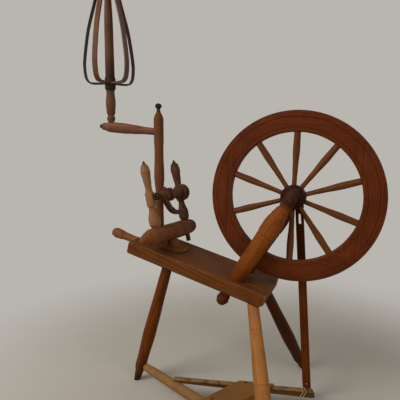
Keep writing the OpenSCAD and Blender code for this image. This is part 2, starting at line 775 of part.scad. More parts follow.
module bobbin() color([0.30, 0.18, 0.14]) placed() flyer_frame() difference() {
  lathe([
    [-16, 8], [-7, 9], [-6, bobbin_d / 2 - 1], [-4.9, bobbin_d / 2], [-0.6, bobbin_d / 2],
    [0.4, bobbin_d / 2 - 1], [1.4, 15.5], [22, 14.5], [44, 16], [45, 18.5], [46, 19], [50, 16],
    [53, 19], [54, 18]
  ]);
  translate([0, 0, -60]) cylinder(r = spindle_r + run_gap, h = 200, $fn = 48);
}

// Distaff post and arm

module distaff_post() color([0.40, 0.18, 0.08]) placed() difference() {
  post_frame() {
    translate([0, 0, post_foot - 64]) cylinder(r = post_tenon_r, h = 80, $fn = 48);
    lathe([
      [post_foot, 14], [post_foot + 1, 15], [post_foot + 20, 15], [distaff_h - 220, 14],
      [distaff_h - 158, 18.6], [distaff_h - 82, 16.2], [distaff_h - 60, 16.2], [distaff_h - 26, post_arm_r],
      [distaff_h + 44, post_arm_r], [distaff_h + 80, 6], [distaff_h + 82, 8], [distaff_h + 90, 12.3],
      [distaff_h + 97, 9.5], [distaff_h + 101, 1]
    ]);
  }
  arm_line() cylinder(r = arm_tenon_r, h = 40, $fn = 48);
}

module distaff_arm() color([0.42, 0.21, 0.10]) placed() difference() {
  union() {
    arm_line() cylinder(r = arm_tenon_r, h = 40, $fn = 48);
    difference() {
      arm_line() lathe([
        [5, 12.5], [40, 12.8], [distaff_reach - 75, 16.5], [distaff_reach - 45, 18.5],
        [distaff_reach + 4, 18.2], [distaff_reach + 26, 13], [distaff_reach + 40, 6], [distaff_reach + 43, 1]
      ]);
      post_frame() translate([0, 0, distaff_h - 60]) cylinder(r = post_arm_r, h = 110, $fn = 72);
    }
  }
  distaff_frame() translate([0, 0, seat_z - 32.6]) cylinder(r = peg_r + run_gap, h = 60, $fn = 48);
}

// Distaff

module distaff_base() color([0.42, 0.24, 0.13]) placed() distaff_frame() {
  translate([0, 0, seat_z - 32]) cylinder(r = peg_r, h = 46, $fn = 48);
  lathe([
    [seat_z, 11.5], [seat_z + 2, 12.5], [seat_z + 11, 14.5], [seat_z + 20, 12], [seat_z + 24, 11.5],
    [seat_z + 28, 15], [seat_z + 66, 17.3], [knob_z - 8, 14.3], [knob_z - 1, 14.5], [knob_z, 14]
  ]);
  translate([0, 0, knob_z - 5]) cylinder(r = 7, h = 20, $fn = 48);
}

module distaff_knob() color(oak_dark) placed() difference() {
  distaff_frame() difference() {
    translate([0, 0, knob_z]) lathe([[0, 14], [1, 15.5], [10, 18.8], [38, 19], [46, 17.5], [47, 16.5]]);
    translate([0, 0, knob_z - 1]) cylinder(r = 7, h = 16, $fn = 48);
    translate([0, 0, knob_z + 32]) cylinder(r = 7, h = 16, $fn = 48);
  }
  ribs();
}

module distaff_core() color([0.33, 0.20, 0.12]) placed() distaff_frame() {
  translate([0, 0, knob_z + 32]) cylinder(r = 7, h = 30, $fn = 48);
  lathe([[knob_z + 47, 13], [knob_z + 48, core_r], [knob_z + 200, core_r - 1], [cap_z, 8]]);
  translate([0, 0, cap_z - 4]) cylinder(r = 5, h = 24, $fn = 48);
}

function rib_at(r, share) = [r, knob_z + share * cage_h];
rib_path = smooth([
  rib_at(12, 0.063), rib_at(0.46 * cage_r, 0.06), rib_at(0.76 * cage_r, 0.064), rib_at(0.9 * cage_r, 0.089),
  rib_at(0.965 * cage_r, 0.13), rib_at(0.99 * cage_r, 0.19), rib_at(0.985 * cage_r, 0.24),
  rib_at(0.91 * cage_r, 0.36), rib_at(0.78 * cage_r, 0.51), rib_at(0.5 * cage_r, 0.72),
  rib_at(0.28 * cage_r, 0.905), rib_at(13, 1.017)
], 5);

module rib(k) distaff_frame() rotate([0, 0, rib_first + 360 / rib_n * (k - 1)]) rotate([90, 0, 0])
  linear_extrude(height = rib_w, center = true)
    polygon(strip(rib_path, rib_t / 2, rib_t / 2));

module ribs()
  for (k = [1:rib_n])
    rib(k);

module rib_1() color(oak_dark) placed() rib(1);
module rib_2() color(oak_dark) placed() rib(2);
module rib_3() color(oak_dark) placed() rib(3);
module rib_4() color(oak_dark) placed() rib(4);
module rib_5() color(oak_dark) placed() rib(5);

module distaff_cap() color(oak_dark) placed() difference() {
  distaff_frame() difference() {
    translate([0, 0, cap_z]) lathe([
      [0, 21], [1, 22], [12, 21.5], [20, 14], [26, 8], [34, 7.5], [44, 11], [54, 6], [57, 1]
    ]);
    translate([0, 0, cap_z - 4]) cylinder(r = 5, h = 24, $fn = 48);
  }
  ribs();
}

bench();
flyer_leg();
near_leg();
far_leg();
near_upright();
far_upright();
near_knob();
far_knob();
felloe_1();
felloe_2();
felloe_3();
felloe_4();
spoke_1();
spoke_2();
spoke_3();
spoke_4();
spoke_5();
spoke_6();
spoke_7();
spoke_8();
spoke_9();
spoke_10();
hub();
axle();
crank_collar();
footman();
treadle_rail();
rail_pins();
treadle_arm();
treadle_board();
treadle_nails();
footman_tie();
tension_screw();
moa_bar();
moa_post();
near_maiden();
far_maiden();
near_leather();
far_leather();
flyer_yoke();
flyer_hooks();
flyer_spindle();
whorl();
bobbin();
distaff_post();
distaff_arm();
distaff_base();
distaff_knob();
distaff_core();
rib_1();
rib_2();
rib_3();
rib_4();
rib_5();
distaff_cap();
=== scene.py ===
"""Looks of a saxony spinning wheel: finishes, small fittings, floor, light and camera."""

import json
import logging
import math
from dataclasses import dataclass
from dataclasses import field
from enum import Enum

import bpy
import numpy as np
from mathutils import Euler
from mathutils import Matrix
from mathutils import Vector


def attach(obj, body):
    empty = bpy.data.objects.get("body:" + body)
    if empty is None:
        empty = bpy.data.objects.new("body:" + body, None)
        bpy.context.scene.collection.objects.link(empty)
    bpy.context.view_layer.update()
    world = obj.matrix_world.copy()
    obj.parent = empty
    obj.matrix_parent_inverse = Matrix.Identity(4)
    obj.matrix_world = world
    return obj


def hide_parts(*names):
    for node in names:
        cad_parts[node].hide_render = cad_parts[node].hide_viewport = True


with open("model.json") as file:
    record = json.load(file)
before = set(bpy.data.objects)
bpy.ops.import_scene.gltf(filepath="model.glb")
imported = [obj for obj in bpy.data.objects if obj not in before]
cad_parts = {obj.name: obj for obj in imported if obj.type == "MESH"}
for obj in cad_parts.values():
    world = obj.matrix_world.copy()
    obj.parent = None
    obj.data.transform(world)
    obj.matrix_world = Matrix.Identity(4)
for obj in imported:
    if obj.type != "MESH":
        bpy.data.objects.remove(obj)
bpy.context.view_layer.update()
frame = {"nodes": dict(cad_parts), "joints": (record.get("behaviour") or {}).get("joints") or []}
LOG = logging.getLogger("spinning_wheel")
MM = 0.001
EDGE_WIDTH = 2.2 * MM
UP = Vector((0, 0, 1))
FLOAT = "NodeSocketFloat"
VECTOR = "NodeSocketVector"

Material = bpy.types.Material
Outputs = bpy.types.NodeOutputs
Piece = bpy.types.Object
Socket = bpy.types.NodeSocket
Tree = bpy.types.NodeTree


def tone(code: str) -> tuple[float, float, float, float]:
    """Turns a written colour into the linear colour that a shader takes.

    Args:
        code: Six hexadecimal digits, red first, as a screen shows the colour.

    Returns:
        Red, green, blue and full opacity, linear.
    """
    parts = [int(code[i : i + 2], 16) / 255 for i in (0, 2, 4)]
    linear = [c / 12.92 if c <= 0.04045 else ((c + 0.055) / 1.055) ** 2.4 for c in parts]
    return (*linear, 1.0)


def joint(name: str) -> dict:
    """Gives the frame's joint of that name."""
    return next(j for j in frame["joints"] if j["name"] == name)


class Run(Enum):
    """Which way the fibres of a wooden piece run."""

    LONG = "along its longest direction"
    AXLE = "along the wheel's axle"
    FLYER = "along the flyer's spindle"
    UP = "straight up"


class Pattern(Enum):
    """Noise patterns: features in a metre, number of finer layers and their strength."""

    FIBRE = (620.0, 5.0, 0.62)
    PORES = (1500.0, 1.0, 0.55)
    MOTTLE = (14.0, 4.0, 0.6)
    RUB = (90.0, 5.0, 0.65)
    DUST = (38.0, 6.0, 0.7)
    STAIN = (60.0, 4.0, 0.55)
    RUST = (170.0, 6.0, 0.7)
    PITS = (900.0, 4.0, 0.6)
    GREASE = (60.0, 5.0, 0.55)
    HAIRS = (1900.0, 4.0, 0.7)
    FLOOR = (2.6, 5.0, 0.55)


class Band(Enum):
    """Where in a value something starts to show, and where it shows in full."""

    RINGS = (0.15, 1.0)
    FIBRE = (0.38, 0.70)
    PORES = (0.60, 0.72)
    MOTTLE = (0.42, 0.72)
    EDGE = (0.995, 0.80)
    OPEN = (0.55, 0.9)
    CREASE = (0.85, 0.25)
    RUB = (0.36, 0.62)
    FACES_UP = (0.35, 0.95)
    DUST = (0.35, 0.75)
    RUST = (0.46, 0.66)
    HIDE = (0.0, 0.22)
    GREASE = (0.4, 0.7)
    HAIRS = (0.35, 0.68)
    FLOOR = (0.35, 0.7)


@dataclass(frozen=True)
class GrainFrame:
    """Where a log's heart lay against a piece, for the pattern of its grain."""

    heart: Vector
    turn: Euler
    low: float
    high: float


class Timber:
    """Finds how the fibres lie in a piece of the frame."""

    heart_offset = Vector((55 * MM, 34 * MM, 0))
    step = 0.37

    def __init__(self) -> None:
        """Starts the count that gives every piece its own stretch of log."""
        self.count = 0

    def direction(self, points: np.ndarray, run: Run) -> Vector:
        """Gives the fibre direction of a piece.

        Args:
            points: The piece's vertices.
            run: Which way its fibres run.

        Returns:
            The direction, which never points down where it is found from the points.
        """
        if run is Run.AXLE:
            return Vector((0, 1, 0))
        if run is Run.FLYER:
            return Vector(joint("flyer_spin")["axis"])
        if run is Run.UP:
            return UP
        spread = points - points.mean(0)
        main = Vector(np.linalg.svd(spread, full_matrices=False)[2][0])
        return main if main.z >= 0 else -main

    def lie(self, node: Piece, run: Run) -> GrainFrame:
        """Works out the grain frame of a piece.

        Args:
            node: The piece.
            run: Which way its fibres run.

        Returns:
            The grain frame, with the piece's reach along the fibres.
        """
        points = np.array([v.co for v in node.data.vertices], float)
        along = self.direction(points, run).normalized()
        turn = along.to_track_quat("Z", "Y").to_matrix()
        self.count += 1
        middle = Vector((points.min(0) + points.max(0)) / 2)
        heart = middle + turn @ (self.heart_offset + Vector((0, 0, self.step * self.count)))
        reach = (points - np.array(heart)) @ np.array(along)
        return GrainFrame(heart, turn.to_euler(), float(reach.min()), float(reach.max()))


class Graph:
    """A small hand for laying out and linking shader nodes."""

    spacing = 200
    # A Mix node has one set of sockets for each kind of data: these are its colour sockets
    mix_first = 6
    mix_second = 7
    mix_result = 2

    def __init__(self, tree: Tree) -> None:
        """Keeps the tree that the nodes go into."""
        self.tree = tree
        self.column = 0

    def add(self, kind: str, **settings: object) -> bpy.types.Node:
        """Adds a node.

        Args:
            kind: The node's type name.
            settings: Properties to set on it.

        Returns:
            The new node.
        """
        node = self.tree.nodes.new(kind)
        node.location = (self.column * self.spacing, 0)
        self.column += 1
        for name, value in settings.items():
            setattr(node, name, value)
        return node

    def put(self, socket: Socket, value: object) -> None:
        """Links a socket to another one, or sets its value.

        Args:
            socket: The input socket.
            value: An output socket, or a plain value.
        """
        if isinstance(value, Socket):
            self.tree.links.new(value, socket)
        else:
            socket.default_value = value

    def fill(self, node: bpy.types.Node, values: dict[str, object]) -> None:
        """Links or sets several inputs of a node, by their names."""
        for name, value in values.items():
            self.put(node.inputs[name], value)

    def effect(self, tree: Tree, **values: object) -> Outputs:
        """Adds a shared shader group.

        Args:
            tree: The group.
            values: What goes into each of its inputs, by the input's name.

        Returns:
            The group's outputs.
        """
        node = self.add("ShaderNodeGroup", node_tree=tree)
        self.fill(node, values)
        return node.outputs

    def math(self, operation: str, *values: object, clamp: bool = False) -> Socket:
        """Adds a sum.

        Args:
            operation: The Math node's operation.
            values: Its inputs, in order.
            clamp: Whether the result is kept between 0 and 1.

        Returns:
            The result's socket.
        """
        node = self.add("ShaderNodeMath", operation=operation, use_clamp=clamp)
        for socket, value in zip(node.inputs, values):
            self.put(socket, value)
        return node.outputs[0]

    def ease(self, value: object, band: Band | tuple[float, float], top: float = 1.0) -> Socket:
        """Eases a value from 0 at one end of a band to the top at the other end.

        Args:
            value: The value.
            band: Where the result is 0, and where it is the top.
            top: The largest result.

        Returns:
            The eased value's socket.
        """
        node = self.add("ShaderNodeMapRange", interpolation_type="SMOOTHSTEP")
        low, high = band.value if isinstance(band, Band) else band
        self.fill(node, {"Value": value, "From Min": low, "From Max": high, "To Max": top})
        return node.outputs["Result"]

    def mix(self, share: object, first: object, second: object) -> Socket:
        """Mixes two colours.

        Args:
            share: How much of the second shows.
            first: The first colour.
            second: The second colour.

        Returns:
            The mixed colour's socket.
        """
        node = self.add("ShaderNodeMix", data_type="RGBA")
        self.put(node.inputs[0], share)
        self.put(node.inputs[self.mix_first], first)
        self.put(node.inputs[self.mix_second], second)
        return node.outputs[self.mix_result]

    def tint(self, mask: object, strength: float, colour: object, code: str) -> Socket:
        """Lays a written colour over the colour so far, where a mask shows and by its strength."""
        return self.mix(self.math("MULTIPLY", mask, strength), colour, tone(code))

    def stretch(self, vector: object, along: float) -> Socket:
        """Draws a pattern out along the fibres.

        Args:
            vector: Where the pattern is read, with z along the fibres.
            along: How much slower it changes along the fibres.

        Returns:
            The new place's socket.
        """
        node = self.add("ShaderNodeVectorMath", operation="MULTIPLY")
        self.put(node.inputs[0], vector)
        self.put(node.inputs[1], (1, 1, along))
        return node.outputs[0]

    def noise(self, vector: object, pattern: Pattern) -> Socket:
        """Adds a noise pattern.

        Args:
            vector: Where it is read.
            pattern: Which one it is.

        Returns:
            The pattern's socket.
        """
        scale, detail, rough = pattern.value
        node = self.add("ShaderNodeTexNoise")
        self.fill(node, {"Vector": vector, "Scale": scale, "Detail": detail, "Roughness": rough})
        return node.outputs[0]

    def height(self, vector: object) -> Socket:
        """Gives a vector's z.

        Args:
            vector: The vector.

        Returns:
            The socket of its z.
        """
        node = self.add("ShaderNodeSeparateXYZ")
        self.put(node.inputs[0], vector)
        return node.outputs["Z"]

    def bump(self, relief: object, strength: float, depth: float) -> Socket:
        """Turns a relief into a rough surface.

        Args:
            relief: The relief.
            strength: How much of it shows.
            depth: How deep it is.

        Returns:
            The normal's socket.
        """
        node = self.add("ShaderNodeBump")
        self.fill(node, {"Height": relief, "Strength": strength, "Distance": depth})
        return node.outputs["Normal"]


class Effects:
    """Shader groups that several finishes share, each built once."""

    ring_stretch = 0.07
    fibre_stretch = 0.035
    pore_stretch = 0.05
    ring_detail = 3.0
    ring_detail_scale = 0.35
    samples = 6
    crease_reach = 8 * MM

    def __init__(self) -> None:
        """Builds the groups."""
        self.grain = self.wood_grain()
        self.wear = self.rubbed_edges()
        self.dust_and_top_light = self.settled_dust_and_top_light()

    def start(
        self, name: str, inputs: dict[str, str], outputs: dict[str, str]
    ) -> tuple[Graph, Outputs, bpy.types.NodeInputs]:
        """Opens a new group with its named sockets.

        Args:
            name: The group's name.
            inputs: Socket type of each input.
            outputs: Socket type of each output.

        Returns:
            The graph, what the group is given and what it results in.
        """
        tree = bpy.data.node_groups.new(name, "ShaderNodeTree")
        for title, kind in inputs.items():
            tree.interface.new_socket(name=title, in_out="INPUT", socket_type=kind)
        for title, kind in outputs.items():
            tree.interface.new_socket(name=title, in_out="OUTPUT", socket_type=kind)
        graph = Graph(tree)
        given = graph.add("NodeGroupInput")
        result = graph.add("NodeGroupOutput")
        return graph, given.outputs, result.inputs

    def wood_grain(self) -> Tree:
        """Builds the grain: growth rings, fibres and pores, with z along the fibres.

        Returns:
            The group.
        """
        graph, given, result = self.start(
            "Wood grain",
            {"Vector": VECTOR, "Rings": FLOAT, "Wander": FLOAT},
            {"Rings": FLOAT, "Fibre": FLOAT, "Pores": FLOAT, "Mottle": FLOAT},
        )
        place = given["Vector"]
        wave = graph.add("ShaderNodeTexWave", wave_type="RINGS", rings_direction="Z", wave_profile="SAW")
        rings = {
            "Vector": graph.stretch(place, self.ring_stretch),
            "Scale": given["Rings"],
            "Distortion": given["Wander"],
            "Detail": self.ring_detail,
            "Detail Scale": self.ring_detail_scale,
        }
        graph.fill(wave, rings)
        graph.put(result["Rings"], wave.outputs["Fac"])
        thread = graph.stretch(place, self.fibre_stretch)
        graph.put(result["Fibre"], graph.noise(thread, Pattern.FIBRE))
        vessel = graph.stretch(place, self.pore_stretch)
        graph.put(result["Pores"], graph.ease(graph.noise(vessel, Pattern.PORES), Band.PORES))
        graph.put(result["Mottle"], graph.noise(place, Pattern.MOTTLE))
        return graph.tree

    def rubbed_edges(self) -> Tree:
        """Builds the wear: edges that hands and feet rub pale, and creases darkened by dirt and by painted
        shade from ambient occlusion.

        Returns:
            The group.
        """
        graph, given, result = self.start(
            "Rubbed edges and dirty, shaded creases",
            {"Vector": VECTOR, "Width": FLOAT},
            {"Rub": FLOAT, "Crease dirt and shade": FLOAT},
        )
        bevel = graph.add("ShaderNodeBevel", samples=self.samples)
        graph.put(bevel.inputs["Radius"], given["Width"])
        match = graph.add("ShaderNodeVectorMath", operation="DOT_PRODUCT")
        graph.put(match.inputs[0], bevel.outputs[0])
        graph.put(match.inputs[1], graph.add("ShaderNodeNewGeometry").outputs["True Normal"])
        edge = graph.ease(match.outputs["Value"], Band.EDGE)
        # Ambient occlusion darkens the creases: dirt that collects there, and painted shade.
        shade = graph.add("ShaderNodeAmbientOcclusion", samples=self.samples)
        graph.put(shade.inputs["Distance"], self.crease_reach)
        patchy = graph.ease(graph.noise(given["Vector"], Pattern.RUB), Band.RUB)
        open_edge = graph.math("MULTIPLY", edge, graph.ease(shade.outputs["AO"], Band.OPEN))
        graph.put(result["Rub"], graph.math("MULTIPLY", open_edge, patchy, clamp=True))
        graph.put(result["Crease dirt and shade"], graph.ease(shade.outputs["AO"], Band.CREASE))
        return graph.tree

    def settled_dust_and_top_light(self) -> Tree:
        """Builds the mask of faces that look up: settled dirt on most woods, and painted top light where a
        finish weights it strongly.

        Returns:
            The group.
        """
        graph, given, result = self.start("Settled dirt and painted top light", {"Vector": VECTOR}, {"Settled dirt and top light": FLOAT})
        facing = graph.height(graph.add("ShaderNodeNewGeometry").outputs["Normal"])
        up = graph.ease(facing, Band.FACES_UP)
        cloud = graph.ease(graph.noise(given["Vector"], Pattern.DUST), Band.DUST)
        graph.put(result["Settled dirt and top light"], graph.math("MULTIPLY", up, cloud, clamp=True))
        return graph.tree


@dataclass(frozen=True)
class StainAndShade:
    """A darker or paler stretch of a piece, which is a real mark on some pieces and painted shade on
    others: starts and ends as shares of its length, from its low end.
    """

    colour: str
    start: float
    end: float
    strength: float = 0.9


@dataclass(frozen=True)
class Canvas:
    """What a finish is laid out on: a graph, the shared groups, the place on the piece and its grain."""

    graph: Graph
    effects: Effects
    place: Socket
    lie: GrainFrame | None

    def wear(self, place: Socket, width: float = EDGE_WIDTH) -> Outputs:
        """Adds the wear of edges, and the dirt and painted shade of creases."""
        return self.graph.effect(self.effects.wear, Vector=place, Width=width)


@dataclass(frozen=True)
class Finish:
    """A finish by name, which makes a material for each piece that has it."""

    name: str

    def looks(self, canvas: Canvas) -> dict[str, object]:
        """Gives what goes into the shader's inputs, by their names."""
        raise NotImplementedError

    def material(self, effects: Effects, piece: str, lie: GrainFrame | None = None) -> Material:
        """Makes the finish for one piece.

        Args:
            effects: The shared shader groups.
            piece: The piece's name.
            lie: How the fibres lie in the piece, where it is wood.

        Returns:
            The material.
        """
        made = bpy.data.materials.new(f"{self.name} {piece}")
        made.use_nodes = True
        graph = Graph(made.node_tree)
        place = graph.add("ShaderNodeTexCoord").outputs["Object"]
        looks = self.looks(Canvas(graph, effects, place, lie))
        graph.fill(made.node_tree.nodes["Principled BSDF"], looks)
        return made


@dataclass(frozen=True)
class WoodFinish(Finish):
    """A wood with its colours, figure and wear, dirt and painted shade in its creases, and a pale film on
    the faces that look up: settled dirt on most woods, painted top light on the treadle arm.
    """

    pale: str
    dark: str
    rubbed: str
    grime_and_shade_tone: str = "1c0f08"
    rings: float = 55.0
    wander: float = 5.0
    figure: float = 0.7
    wear: float = 0.45
    crease_shade_and_grime: float = 0.45
    dust_and_top_light: float = 0.02
    powder_and_top_light: str = "a2937f"
    rough: float = 0.5
    sheen: float = 0.08
    edge: float = EDGE_WIDTH
    stains_and_shades: tuple[StainAndShade, ...] = ()

    # The same in every wood
    fibre_share = 0.6
    mottle_share = 0.55
    pore_share = 0.45
    fibre_rough = 0.22
    smoothed = 0.10
    pore_relief = -0.8
    relief = 0.28
    relief_depth = 0.6 * MM
    ragged = 12 * MM

    def looks(self, canvas: Canvas) -> dict[str, object]:
        """Lays out the grain with its darker stretches, some of them painted shade, its wear, the dirt and
        painted shade of its creases, and the up-facing film of dirt and painted top light.

        Args:
            canvas: What the finish is laid out on.

        Returns:
            What goes into the shader's inputs, by their names.
        """
        graph, place, lie = canvas.graph, canvas.place, canvas.lie
        turned = graph.add("ShaderNodeMapping", vector_type="TEXTURE")
        graph.fill(turned, {"Vector": place, "Location": lie.heart, "Rotation": lie.turn})
        log = turned.outputs["Vector"]
        grain = graph.effect(canvas.effects.grain, Vector=log, Rings=self.rings, Wander=self.wander)
        wear = canvas.wear(log, self.edge)
        dust_and_top_light = graph.effect(canvas.effects.dust_and_top_light, Vector=place)
        rings = graph.ease(grain["Rings"], Band.RINGS)
        colour = graph.tint(rings, self.figure, tone(self.pale), self.dark)
        fibre = graph.ease(grain["Fibre"], Band.FIBRE, self.fibre_share * self.figure)
        colour = graph.mix(fibre, colour, tone(self.dark))
        mottle = graph.ease(grain["Mottle"], Band.MOTTLE, self.mottle_share)
        colour = graph.mix(mottle, colour, tone(self.dark))
        colour = graph.tint(grain["Pores"], self.pore_share, colour, self.grime_and_shade_tone)
        # Darker stretches along the piece; on the near upright's lower part and the footman's top they are
        # painted shade.
        for stain_and_shade in self.stains_and_shades:
            colour = graph.mix(self.stained(graph, log, lie, stain_and_shade), colour, tone(stain_and_shade.colour))
        colour = graph.tint(wear["Rub"], self.wear, colour, self.rubbed)
        # Creases darken with dirt and with painted shade from ambient occlusion.
        colour = graph.tint(wear["Crease dirt and shade"], self.crease_shade_and_grime, colour, self.grime_and_shade_tone)
        # Faces that look up take a pale tone: settled dirt on most woods, painted top light on the treadle
        # arm.
        powder_and_top_light = graph.math("MULTIPLY", dust_and_top_light["Settled dirt and top light"], self.dust_and_top_light)
        worn = graph.math("MULTIPLY_ADD", grain["Fibre"], self.fibre_rough, self.rough - self.smoothed)
        relief = graph.math("MULTIPLY_ADD", grain["Pores"], self.pore_relief, grain["Fibre"])
        return {
            "Base Color": graph.mix(powder_and_top_light, colour, tone(self.powder_and_top_light)),
            "Roughness": graph.math("ADD", worn, powder_and_top_light, clamp=True),
            "Specular IOR Level": self.sheen,
            "Normal": graph.bump(relief, self.relief, self.relief_depth),
        }

    def stained(self, graph: Graph, log: Socket, lie: GrainFrame, stain_and_shade: StainAndShade) -> Socket:
        """Finds where a darker or paler stretch shows, with a ragged edge.

        Args:
            graph: The material's graph.
            log: The place along the fibres.
            lie: How the fibres lie in the piece.
            stain_and_shade: The stretch.

        Returns:
            The socket of the stretch's share in the colour.
        """
        noise = graph.noise(log, Pattern.STAIN)
        along = graph.math("MULTIPLY_ADD", noise, self.ragged, graph.height(log))
        base = lie.low + self.ragged / 2
        length = lie.high - lie.low
        band = (base + stain_and_shade.start * length, base + stain_and_shade.end * length)
        return graph.ease(along, band, stain_and_shade.strength)


@dataclass(frozen=True)
class IronFinish(Finish):
    """Wrought iron, blackened by age and rubbed bright or rusty in places."""

    scale: str
    rust: str
    bright: str
    rusted: float = 0.4
    metal: float = 0.85
    gloss: float = 0.4

    # The same in every iron
    rough = 0.36
    rust_rough = 0.7
    relief = 0.25
    relief_depth = 0.4 * MM

    def looks(self, canvas: Canvas) -> dict[str, object]:
        """Lays out iron scale with rust and bright edges.

        Args:
            canvas: What the finish is laid out on.

        Returns:
            What goes into the shader's inputs, by their names.
        """
        graph, place = canvas.graph, canvas.place
        wear = canvas.wear(place)
        bloom = graph.ease(graph.noise(place, Pattern.RUST), Band.RUST, self.rusted)
        colour = graph.mix(bloom, tone(self.scale), tone(self.rust))
        return {
            "Base Color": graph.mix(wear["Rub"], colour, tone(self.bright)),
            "Metallic": graph.math("SUBTRACT", self.metal, bloom, clamp=True),
            "Roughness": graph.math("MULTIPLY_ADD", bloom, self.rust_rough, self.rough),
            "Specular IOR Level": self.gloss,
            "Normal": graph.bump(graph.noise(place, Pattern.PITS), self.relief, self.relief_depth),
        }


@dataclass(frozen=True)
class LeatherFinish(Finish):
    """Thick leather, greased by the turning shaft."""

    face: str
    crease: str
    cut: str
    cells: float = 620.0
    greased: float = 0.5
    rough: float = 0.68
    polish: float = -0.18
    gloss: float = 0.15
    relief: float = 0.35
    relief_depth: float = 0.4 * MM

    def looks(self, canvas: Canvas) -> dict[str, object]:
        """Lays out the creased hide with its grease and cut edges.

        Args:
            canvas: What the finish is laid out on.

        Returns:
            What goes into the shader's inputs, by their names.
        """
        graph, place = canvas.graph, canvas.place
        cells = graph.add("ShaderNodeTexVoronoi", feature="DISTANCE_TO_EDGE")
        graph.fill(cells, {"Vector": place, "Scale": self.cells})
        hide = graph.ease(cells.outputs["Distance"], Band.HIDE)
        wear = canvas.wear(place)
        colour = graph.mix(hide, tone(self.crease), tone(self.face))
        grease = graph.ease(graph.noise(place, Pattern.GREASE), Band.GREASE, self.greased)
        colour = graph.mix(grease, colour, tone(self.crease))
        return {
            "Base Color": graph.mix(wear["Rub"], colour, tone(self.cut)),
            "Roughness": graph.math("MULTIPLY_ADD", hide, self.polish, self.rough),
            "Specular IOR Level": self.gloss,
            "Normal": graph.bump(hide, self.relief, self.relief_depth),
        }


@dataclass(frozen=True)
class TwineFinish(Finish):
    """Twisted natural twine."""

    fibre: str
    shade: str
    grime_and_shade_tone: str
    crease_shade_and_grime: float = 0.5
    rough: float = 0.72
    hairy: float = 0.2
    relief: float = 0.5
    relief_depth: float = 0.3 * MM

    def looks(self, canvas: Canvas) -> dict[str, object]:
        """Lays out pale hairs with dirt and painted shade between the turns.

        Args:
            canvas: What the finish is laid out on.

        Returns:
            What goes into the shader's inputs, by their names.
        """
        graph, place = canvas.graph, canvas.place
        wear = canvas.wear(place)
        hairs = graph.noise(place, Pattern.HAIRS)
        colour = graph.mix(graph.ease(hairs, Band.HAIRS), tone(self.fibre), tone(self.shade))
        return {
            "Base Color": graph.tint(wear["Crease dirt and shade"], self.crease_shade_and_grime, colour, self.grime_and_shade_tone),
            "Roughness": graph.math("MULTIPLY_ADD", hairs, self.hairy, self.rough),
            "Normal": graph.bump(hairs, self.relief, self.relief_depth),
        }


BLACK_IRON = IronFinish("Blackened iron", "2a2724", "5a2f18", "8d8478", 0.45)
BROWN_IRON = IronFinish("Browned iron", "33211a", "4a2b1c", "57402f", 0.6, 0.2, 0.12)
GREASED_LEATHER = LeatherFinish("Greased leather", "38231a", "170d08", "5d4028")
TWINE = TwineFinish("Natural twine", "c9b895", "8f7a55", "4a3a28")


